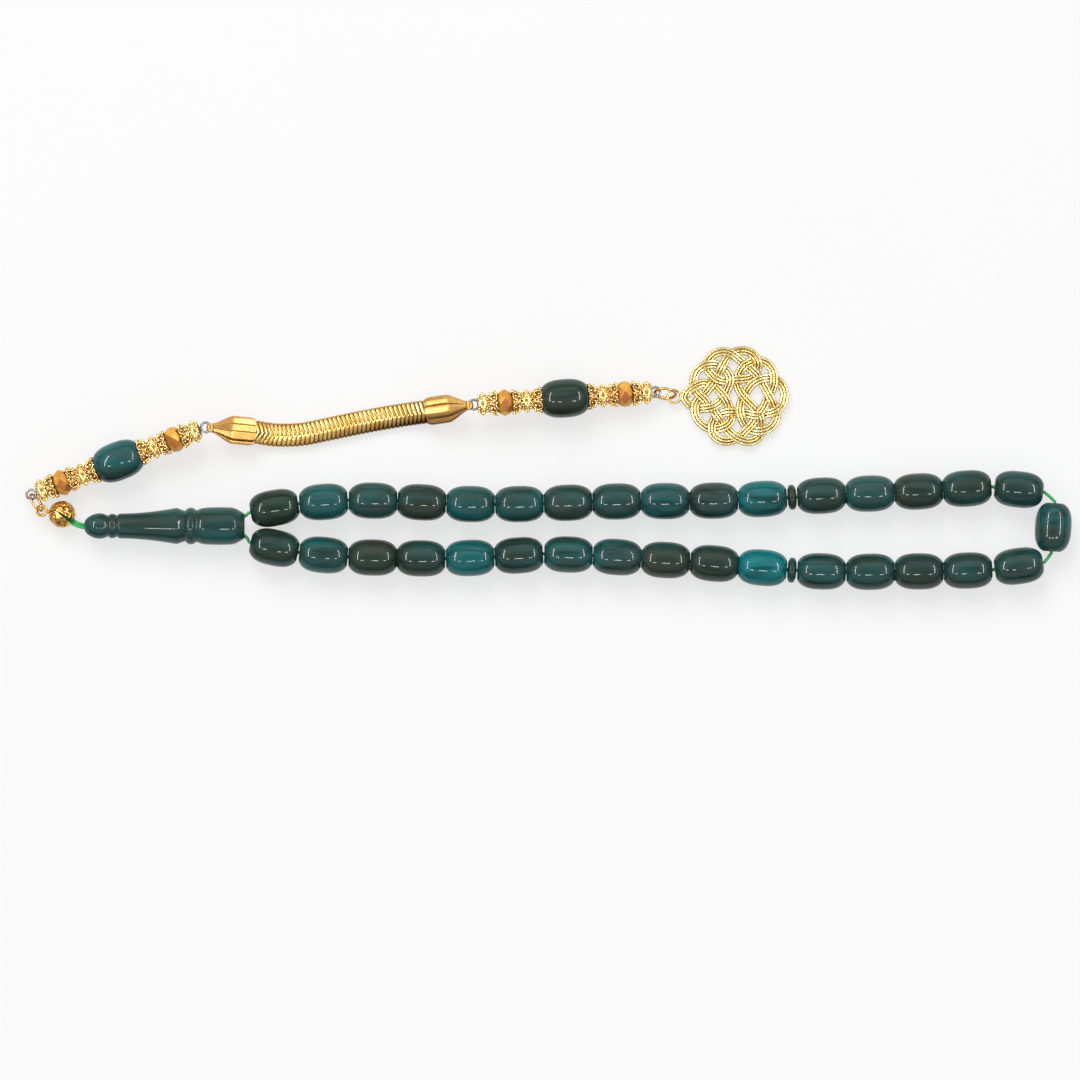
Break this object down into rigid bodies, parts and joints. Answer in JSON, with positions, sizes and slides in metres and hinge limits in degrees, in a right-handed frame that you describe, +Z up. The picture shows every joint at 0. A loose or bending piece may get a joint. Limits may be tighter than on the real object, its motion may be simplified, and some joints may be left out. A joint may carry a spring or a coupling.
{
  "type": "misbaha prayer beads",
  "caption": "Loop of barrel-shaped prayer beads on a green cord, with divider discs, a turned leader, and a jointed gold tassel of pins, a snake chain and a knot pendant.",
  "frame": {"origin": "middle of the layout, on the table", "axes": "+X along the rows, away from the leader; +Y towards the tassel; +Z up from the table"},
  "size_m": [0.24, 0.0558, 0.0091],
  "materials": {
    "green_stone": "polished, dark green to teal with olive-brown clouds",
    "brown_bead": "satin copper brown, hexagon facets",
    "cord": "bright green twisted thread",
    "yellow_gold": "bright plated",
    "satin_gold": "satin plated",
    "pale_gold": "cast and plated, bright",
    "silver_wire": "bright wire"
  },
  "bodies": {
    "string": {"cord": "cord", "clamshell_tip": "yellow_gold"},
    "leader": {"leader": "green_stone"},
    "bead_01": {"bead_01": "green_stone"},
    "bead_02": {"bead_02": "green_stone"},
    "bead_03": {"bead_03": "green_stone"},
    "bead_04": {"bead_04": "green_stone"},
    "bead_05": {"bead_05": "green_stone"},
    "bead_06": {"bead_06": "green_stone"},
    "bead_07": {"bead_07": "green_stone"},
    "bead_08": {"bead_08": "green_stone"},
    "bead_09": {"bead_09": "green_stone"},
    "bead_10": {"bead_10": "green_stone"},
    "bead_11": {"bead_11": "green_stone"},
    "divider_upper": {"divider_upper": "green_stone"},
    "bead_12": {"bead_12": "green_stone"},
    "bead_13": {"bead_13": "green_stone"},
    "bead_14": {"bead_14": "green_stone"},
    "bead_15": {"bead_15": "green_stone"},
    "bead_33": {"bead_33": "green_stone"},
    "bead_32": {"bead_32": "green_stone"},
    "bead_31": {"bead_31": "green_stone"},
    "bead_30": {"bead_30": "green_stone"},
    "bead_29": {"bead_29": "green_stone"},
    "bead_28": {"bead_28": "green_stone"},
    "bead_27": {"bead_27": "green_stone"},
    "bead_26": {"bead_26": "green_stone"},
    "bead_25": {"bead_25": "green_stone"},
    "bead_24": {"bead_24": "green_stone"},
    "bead_23": {"bead_23": "green_stone"},
    "divider_lower": {"divider_lower": "green_stone"},
    "bead_22": {"bead_22": "green_stone"},
    "bead_21": {"bead_21": "green_stone"},
    "bead_20": {"bead_20": "green_stone"},
    "bead_19": {"bead_19": "green_stone"},
    "bead_16": {"bead_16": "green_stone"},
    "bead_18": {"bead_18": "green_stone"},
    "bead_17": {"bead_17": "green_stone"},
    "jump_ring_knot": {"jump_ring_knot": "yellow_gold"},
    "first_pin": {"first_pin": "silver_wire"},
    "chain": {"chain_cap_left": "satin_gold", "snake_chain": "yellow_gold", "chain_cap_right": "satin_gold"},
    "second_pin": {"second_pin": "silver_wire"},
    "jump_ring_pendant": {"jump_ring_pendant": "yellow_gold"},
    "knot_pendant": {"knot_pendant": "pale_gold"},
    "first_crown_outer_left": {"first_crown_outer_left": "yellow_gold"},
    "first_brown_bead_left": {"first_brown_bead_left": "brown_bead"},
    "first_crown_inner_left": {"first_crown_inner_left": "yellow_gold"},
    "first_green_bead": {"first_green_bead": "green_stone"},
    "first_crown_inner_right": {"first_crown_inner_right": "yellow_gold"},
    "first_brown_bead_right": {"first_brown_bead_right": "brown_bead"},
    "first_crown_outer_right": {"first_crown_outer_right": "yellow_gold"},
    "second_crown_outer_left": {"second_crown_outer_left": "yellow_gold"},
    "second_brown_bead_left": {"second_brown_bead_left": "brown_bead"},
    "second_crown_inner_left": {"second_crown_inner_left": "yellow_gold"},
    "second_green_bead": {"second_green_bead": "green_stone"},
    "second_crown_inner_right": {"second_crown_inner_right": "yellow_gold"},
    "second_brown_bead_right": {"second_brown_bead_right": "brown_bead"},
    "second_crown_outer_right": {"second_crown_outer_right": "yellow_gold"}
  },
  "joints": [
    {"name": "leader_slide", "type": "slide", "parent": "string", "child": "leader", "axis": [1, 0, 0], "range_m": [-0.0012, 0.0002]},
    {"name": "bead_01_slide", "type": "slide", "parent": "string", "child": "bead_01", "axis": [0.9848, 0.1736, 0], "range_m": [-0.0006, 0.0002]},
    {"name": "bead_02_slide", "type": "slide", "parent": "string", "child": "bead_02", "axis": [0.9976, 0.0698, 0], "range_m": [-0.0006, 0.0002]},
    {"name": "bead_03_slide", "type": "slide", "parent": "string", "child": "bead_03", "axis": [0.9998, -0.0175, 0], "range_m": [-0.0006, 0.0002]},
    {"name": "bead_04_slide", "type": "slide", "parent": "string", "child": "bead_04", "axis": [0.9986, -0.0523, 0], "range_m": [-0.0006, 0.0002]},
    {"name": "bead_05_slide", "type": "slide", "parent": "string", "child": "bead_05", "axis": [0.9998, -0.0175, 0], "range_m": [-0.0006, 0.0002]},
    {"name": "bead_06_slide", "type": "slide", "parent": "string", "child": "bead_06", "axis": [0.9998, 0.0175, 0], "range_m": [-0.0006, 0.0002]},
    {"name": "bead_07_slide", "type": "slide", "parent": "string", "child": "bead_07", "axis": [0.9994, 0.0349, 0], "range_m": [-0.0006, 0.0002]},
    {"name": "bead_08_slide", "type": "slide", "parent": "string", "child": "bead_08", "axis": [0.9998, 0.0175, 0], "range_m": [-0.0006, 0.0002]},
    {"name": "bead_09_slide", "type": "slide", "parent": "string", "child": "bead_09", "axis": [1, 0, 0], "range_m": [-0.0006, 0.0002]},
    {"name": "bead_10_slide", "type": "slide", "parent": "string", "child": "bead_10", "axis": [0.9998, 0.0175, 0], "range_m": [-0.0006, 0.0002]},
    {"name": "bead_11_slide", "type": "slide", "parent": "string", "child": "bead_11", "axis": [0.9986, 0.0523, 0], "range_m": [-0.0006, 0.0002]},
    {"name": "divider_upper_slide", "type": "slide", "parent": "string", "child": "divider_upper", "axis": [0.9976, 0.0698, 0], "range_m": [-0.0006, 0.0002]},
    {"name": "bead_12_slide", "type": "slide", "parent": "string", "child": "bead_12", "axis": [0.9986, 0.0523, 0], "range_m": [-0.0006, 0.0002]},
    {"name": "bead_13_slide", "type": "slide", "parent": "string", "child": "bead_13", "axis": [0.9994, 0.0349, 0], "range_m": [-0.0006, 0.0002]},
    {"name": "bead_14_slide", "type": "slide", "parent": "string", "child": "bead_14", "axis": [0.9986, 0.0523, 0], "range_m": [-0.0006, 0.0002]},
    {"name": "bead_15_slide", "type": "slide", "parent": "string", "child": "bead_15", "axis": [0.9976, 0.0698, 0], "range_m": [-0.0006, 0.0002]},
    {"name": "bead_33_slide", "type": "slide", "parent": "string", "child": "bead_33", "axis": [0.9781, -0.2079, 0], "range_m": [-0.0006, 0.0002]},
    {"name": "bead_32_slide", "type": "slide", "parent": "string", "child": "bead_32", "axis": [0.9962, -0.0872, 0], "range_m": [-0.0006, 0.0002]},
    {"name": "bead_31_slide", "type": "slide", "parent": "string", "child": "bead_31", "axis": [0.9998, -0.0175, 0], "range_m": [-0.0006, 0.0002]},
    {"name": "bead_30_slide", "type": "slide", "parent": "string", "child": "bead_30", "axis": [0.9998, -0.0175, 0], "range_m": [-0.0006, 0.0002]},
    {"name": "bead_29_slide", "type": "slide", "parent": "string", "child": "bead_29", "axis": [0.9994, 0.0349, 0], "range_m": [-0.0006, 0.0002]},
    {"name": "bead_28_slide", "type": "slide", "parent": "string", "child": "bead_28", "axis": [0.9976, 0.0698, 0], "range_m": [-0.0006, 0.0002]},
    {"name": "bead_27_slide", "type": "slide", "parent": "string", "child": "bead_27", "axis": [0.9994, -0.0349, 0], "range_m": [-0.0006, 0.0002]},
    {"name": "bead_26_slide", "type": "slide", "parent": "string", "child": "bead_26", "axis": [0.9976, -0.0698, 0], "range_m": [-0.0006, 0.0002]},
    {"name": "bead_25_slide", "type": "slide", "parent": "string", "child": "bead_25", "axis": [0.9986, -0.0523, 0], "range_m": [-0.0006, 0.0002]},
    {"name": "bead_24_slide", "type": "slide", "parent": "string", "child": "bead_24", "axis": [0.9962, -0.0872, 0], "range_m": [-0.0006, 0.0002]},
    {"name": "bead_23_slide", "type": "slide", "parent": "string", "child": "bead_23", "axis": [0.9962, -0.0872, 0], "range_m": [-0.0006, 0.0002]},
    {"name": "divider_lower_slide", "type": "slide", "parent": "string", "child": "divider_lower", "axis": [0.9976, -0.0698, 0], "range_m": [-0.0006, 0.0002]},
    {"name": "bead_22_slide", "type": "slide", "parent": "string", "child": "bead_22", "axis": [0.9994, -0.0349, 0], "range_m": [-0.0006, 0.0002]},
    {"name": "bead_21_slide", "type": "slide", "parent": "string", "child": "bead_21", "axis": [0.9998, 0.0175, 0], "range_m": [-0.0006, 0.0002]},
    {"name": "bead_20_slide", "type": "slide", "parent": "string", "child": "bead_20", "axis": [1, 0, 0], "range_m": [-0.0006, 0.0002]},
    {"name": "bead_19_slide", "type": "slide", "parent": "string", "child": "bead_19", "axis": [0.9994, 0.0349, 0], "range_m": [-0.0006, 0.0002]},
    {"name": "bead_16_slide", "type": "slide", "parent": "string", "child": "bead_16", "axis": [0.9945, -0.1045, 0], "range_m": [-0.0002, 0.0003]},
    {"name": "bead_18_slide", "type": "slide", "parent": "string", "child": "bead_18", "axis": [0.9903, 0.1392, 0], "range_m": [-0.0002, 0.0003]},
    {"name": "bead_17_spin", "type": "hinge", "parent": "string", "child": "bead_17", "pos_m": [0.11591, -0.01371, 0.0042], "axis": [-0.0698, -0.9976, 0], "continuous": true},
    {"name": "knot_ring_swing", "type": "hinge", "parent": "string", "child": "jump_ring_knot", "pos_m": [-0.11624, -0.00988, 0.0031], "axis": [0, 0, 1], "range_deg": [0, 30]},
    {"name": "first_pin_swing", "type": "hinge", "parent": "jump_ring_knot", "child": "first_pin", "pos_m": [-0.11863, -0.00619, 0.00286], "axis": [0, 0, 1], "range_deg": [0, 30]},
    {"name": "chain_swing", "type": "hinge", "parent": "first_pin", "child": "chain", "pos_m": [-0.07839, 0.00917, 0.00624], "axis": [0, 0, 1], "range_deg": [-1, 30]},
    {"name": "second_pin_swing", "type": "hinge", "parent": "chain", "child": "second_pin", "pos_m": [-0.01691, 0.01439, 0.00619], "axis": [0, 0, 1], "range_deg": [-2, 30]},
    {"name": "pendant_ring_swing", "type": "hinge", "parent": "second_pin", "child": "jump_ring_pendant", "pos_m": [0.02465, 0.01737, 0.00291], "axis": [0, 0, 1], "range_deg": [-3, 20]},
    {"name": "pendant_swing", "type": "hinge", "parent": "jump_ring_pendant", "child": "knot_pendant", "pos_m": [0.02899, 0.01634, 0], "axis": [0, 0, 1], "range_deg": [-5, 20]},
    {"name": "first_crown_outer_left_spin", "type": "hinge", "parent": "first_pin", "child": "first_crown_outer_left", "pos_m": [-0.09879, 0.00138, 0.00453], "axis": [0.9313, 0.3556, 0.0784], "continuous": true},
    {"name": "first_brown_bead_left_spin", "type": "hinge", "parent": "first_pin", "child": "first_brown_bead_left", "pos_m": [-0.09879, 0.00138, 0.00453], "axis": [0.9313, 0.3556, 0.0784], "continuous": true},
    {"name": "first_crown_inner_left_spin", "type": "hinge", "parent": "first_pin", "child": "first_crown_inner_left", "pos_m": [-0.09879, 0.00138, 0.00453], "axis": [0.9313, 0.3556, 0.0784], "continuous": true},
    {"name": "first_green_bead_spin", "type": "hinge", "parent": "first_pin", "child": "first_green_bead", "pos_m": [-0.09879, 0.00138, 0.00453], "axis": [0.9313, 0.3556, 0.0784], "continuous": true},
    {"name": "first_crown_inner_right_spin", "type": "hinge", "parent": "first_pin", "child": "first_crown_inner_right", "pos_m": [-0.09879, 0.00138, 0.00453], "axis": [0.9313, 0.3556, 0.0784], "continuous": true},
    {"name": "first_brown_bead_right_spin", "type": "hinge", "parent": "first_pin", "child": "first_brown_bead_right", "pos_m": [-0.09879, 0.00138, 0.00453], "axis": [0.9313, 0.3556, 0.0784], "continuous": true},
    {"name": "first_crown_outer_right_spin", "type": "hinge", "parent": "first_pin", "child": "first_crown_outer_right", "pos_m": [-0.09879, 0.00138, 0.00453], "axis": [0.9313, 0.3556, 0.0784], "continuous": true},
    {"name": "second_crown_outer_left_spin", "type": "hinge", "parent": "second_pin", "child": "second_crown_outer_left", "pos_m": [0.00426, 0.01591, 0.00452], "axis": [0.9944, 0.0713, -0.0784], "continuous": true},
    {"name": "second_brown_bead_left_spin", "type": "hinge", "parent": "second_pin", "child": "second_brown_bead_left", "pos_m": [0.00426, 0.01591, 0.00452], "axis": [0.9944, 0.0713, -0.0784], "continuous": true},
    {"name": "second_crown_inner_left_spin", "type": "hinge", "parent": "second_pin", "child": "second_crown_inner_left", "pos_m": [0.00426, 0.01591, 0.00452], "axis": [0.9944, 0.0713, -0.0784], "continuous": true},
    {"name": "second_green_bead_spin", "type": "hinge", "parent": "second_pin", "child": "second_green_bead", "pos_m": [0.00426, 0.01591, 0.00452], "axis": [0.9944, 0.0713, -0.0784], "continuous": true},
    {"name": "second_crown_inner_right_spin", "type": "hinge", "parent": "second_pin", "child": "second_crown_inner_right", "pos_m": [0.00426, 0.01591, 0.00452], "axis": [0.9944, 0.0713, -0.0784], "continuous": true},
    {"name": "second_brown_bead_right_spin", "type": "hinge", "parent": "second_pin", "child": "second_brown_bead_right", "pos_m": [0.00426, 0.01591, 0.00452], "axis": [0.9944, 0.0713, -0.0784], "continuous": true},
    {"name": "second_crown_outer_right_spin", "type": "hinge", "parent": "second_pin", "child": "second_crown_outer_right", "pos_m": [0.00426, 0.01591, 0.00452], "axis": [0.9944, 0.0713, -0.0784], "continuous": true}
  ],
  "couplings": [
    {"joint": "bead_02_slide", "follows": "bead_01_slide", "ratio": 1},
    {"joint": "bead_03_slide", "follows": "bead_01_slide", "ratio": 1},
    {"joint": "bead_04_slide", "follows": "bead_01_slide", "ratio": 1},
    {"joint": "bead_05_slide", "follows": "bead_01_slide", "ratio": 1},
    {"joint": "bead_06_slide", "follows": "bead_01_slide", "ratio": 1},
    {"joint": "bead_07_slide", "follows": "bead_01_slide", "ratio": 1},
    {"joint": "bead_08_slide", "follows": "bead_01_slide", "ratio": 1},
    {"joint": "bead_09_slide", "follows": "bead_01_slide", "ratio": 1},
    {"joint": "bead_10_slide", "follows": "bead_01_slide", "ratio": 1},
    {"joint": "bead_11_slide", "follows": "bead_01_slide", "ratio": 1},
    {"joint": "divider_upper_slide", "follows": "bead_01_slide", "ratio": 1},
    {"joint": "bead_12_slide", "follows": "bead_01_slide", "ratio": 1},
    {"joint": "bead_13_slide", "follows": "bead_01_slide", "ratio": 1},
    {"joint": "bead_14_slide", "follows": "bead_01_slide", "ratio": 1},
    {"joint": "bead_15_slide", "follows": "bead_01_slide", "ratio": 1},
    {"joint": "bead_32_slide", "follows": "bead_33_slide", "ratio": 1},
    {"joint": "bead_31_slide", "follows": "bead_33_slide", "ratio": 1},
    {"joint": "bead_30_slide", "follows": "bead_33_slide", "ratio": 1},
    {"joint": "bead_29_slide", "follows": "bead_33_slide", "ratio": 1},
    {"joint": "bead_28_slide", "follows": "bead_33_slide", "ratio": 1},
    {"joint": "bead_27_slide", "follows": "bead_33_slide", "ratio": 1},
    {"joint": "bead_26_slide", "follows": "bead_33_slide", "ratio": 1},
    {"joint": "bead_25_slide", "follows": "bead_33_slide", "ratio": 1},
    {"joint": "bead_24_slide", "follows": "bead_33_slide", "ratio": 1},
    {"joint": "bead_23_slide", "follows": "bead_33_slide", "ratio": 1},
    {"joint": "divider_lower_slide", "follows": "bead_33_slide", "ratio": 1},
    {"joint": "bead_22_slide", "follows": "bead_33_slide", "ratio": 1},
    {"joint": "bead_21_slide", "follows": "bead_33_slide", "ratio": 1},
    {"joint": "bead_20_slide", "follows": "bead_33_slide", "ratio": 1},
    {"joint": "bead_19_slide", "follows": "bead_33_slide", "ratio": 1}
  ]
}
